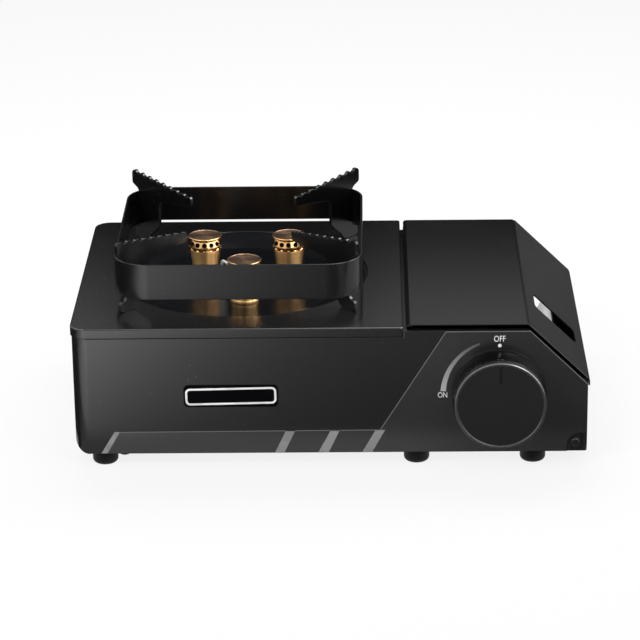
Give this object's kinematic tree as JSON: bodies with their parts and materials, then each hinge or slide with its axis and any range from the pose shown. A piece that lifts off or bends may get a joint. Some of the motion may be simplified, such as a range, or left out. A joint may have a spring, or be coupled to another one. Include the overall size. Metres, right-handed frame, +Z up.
{
  "type": "portable butane cassette stove",
  "caption": "Compact tabletop gas stove: low steel case, clustered brass burner heads inside a square toothed pan support, hinged canister lid with a slanted side, round front knob.",
  "frame": {"origin": "on the surface the feet stand on, at the middle of the bounding box in X and Y", "axes": "+X towards the canister bay (right, seen from the knob), +Y to the rear, +Z up"},
  "size_m": [0.28, 0.1942, 0.121],
  "materials": {
    "case_enamel": "semi-gloss black enamel",
    "bowl_enamel": "satin black non-stick coating",
    "support_enamel": "semi-gloss black enamel on steel",
    "badge_plate": "semi-gloss black with a silver border",
    "zinc_sheet": "zinc plated",
    "bright_screw": "bright zinc plated",
    "black_screw": "black oxide",
    "die_cast": "as cast",
    "brass": "turned, slightly dull",
    "knob_plastic": "fine satin, knurled rim",
    "cam_plastic": "natural moulded",
    "igniter_plastic": "moulded",
    "plunger_plastic": "moulded",
    "ceramic": "white glazed ceramic",
    "magnet": "nickel plated",
    "rubber_black": "moulded",
    "lead_insulation": "silicone"
  },
  "bodies": {
    "stove": {"body_shell": "case_enamel", "base_plate": "case_enamel", "burner_plate": "case_enamel", "drip_bowl": "bowl_enamel", "badge_plate": "badge_plate", "divider_panel": "case_enamel", "hinge_brackets": "case_enamel", "hinge_rod": "bright_screw", "lid_bumpers": "rubber_black", "canister_cradle": "zinc_sheet", "regulator_bracket": "zinc_sheet", "regulator_body": "die_cast", "regulator_cover": "die_cast", "diaphragm": "rubber_black", "regulator_spring": "bright_screw", "spindle_seal": "rubber_black", "piezo_body": "igniter_plastic", "ignition_wire": "lead_insulation", "electrode_ceramic": "ceramic", "electrode_tip": "bright_screw", "electrode_clip": "zinc_sheet", "inlet_nozzle": "brass", "inlet_seal": "rubber_black", "magnet_holder": "zinc_sheet", "inlet_magnets": "magnet", "gas_jet": "brass", "mixing_tube": "zinc_sheet", "manifold": "die_cast", "burner_bracket": "zinc_sheet", "burner_stems": "brass", "burner_caps": "brass", "rubber_feet": "rubber_black", "foot_screws": "bright_screw", "base_screws": "black_screw", "corner_screw": "black_screw", "plate_screws": "bright_screw", "manifold_screws": "bright_screw", "bracket_screws": "bright_screw", "regulator_screws": "bright_screw", "cover_screws": "bright_screw"},
    "lid": {"lid": "case_enamel"},
    "knob": {"knob": "knob_plastic", "spindle": "brass", "ignition_cam": "cam_plastic"},
    "plunger": {"piezo_plunger": "plunger_plastic"},
    "pan_support": {"support_ring": "support_enamel", "support_arms": "support_enamel"}
  },
  "joints": [
    {"name": "lid_hinge", "type": "hinge", "parent": "stove", "child": "lid", "pos_m": [0.0433, 0, 0.0778], "axis": [0, -1, 0], "range_deg": [0, 100]},
    {"name": "knob_turn", "type": "hinge", "parent": "stove", "child": "knob", "pos_m": [0.091, -0.08, 0.0409], "axis": [0, -1, 0], "range_deg": [0, 90]},
    {"name": "igniter_stroke", "type": "slide", "parent": "stove", "child": "plunger", "axis": [-1, 0, 0], "range_m": [0, 0.0036]},
    {"name": "pan_support_lift", "type": "slide", "parent": "stove", "child": "pan_support", "axis": [0, 0, 1], "range_m": [0, 0.12]}
  ],
  "couplings": [
    {"joint": "igniter_stroke", "follows": "knob_turn", "m_per_rad": 0.002228}
  ]
}
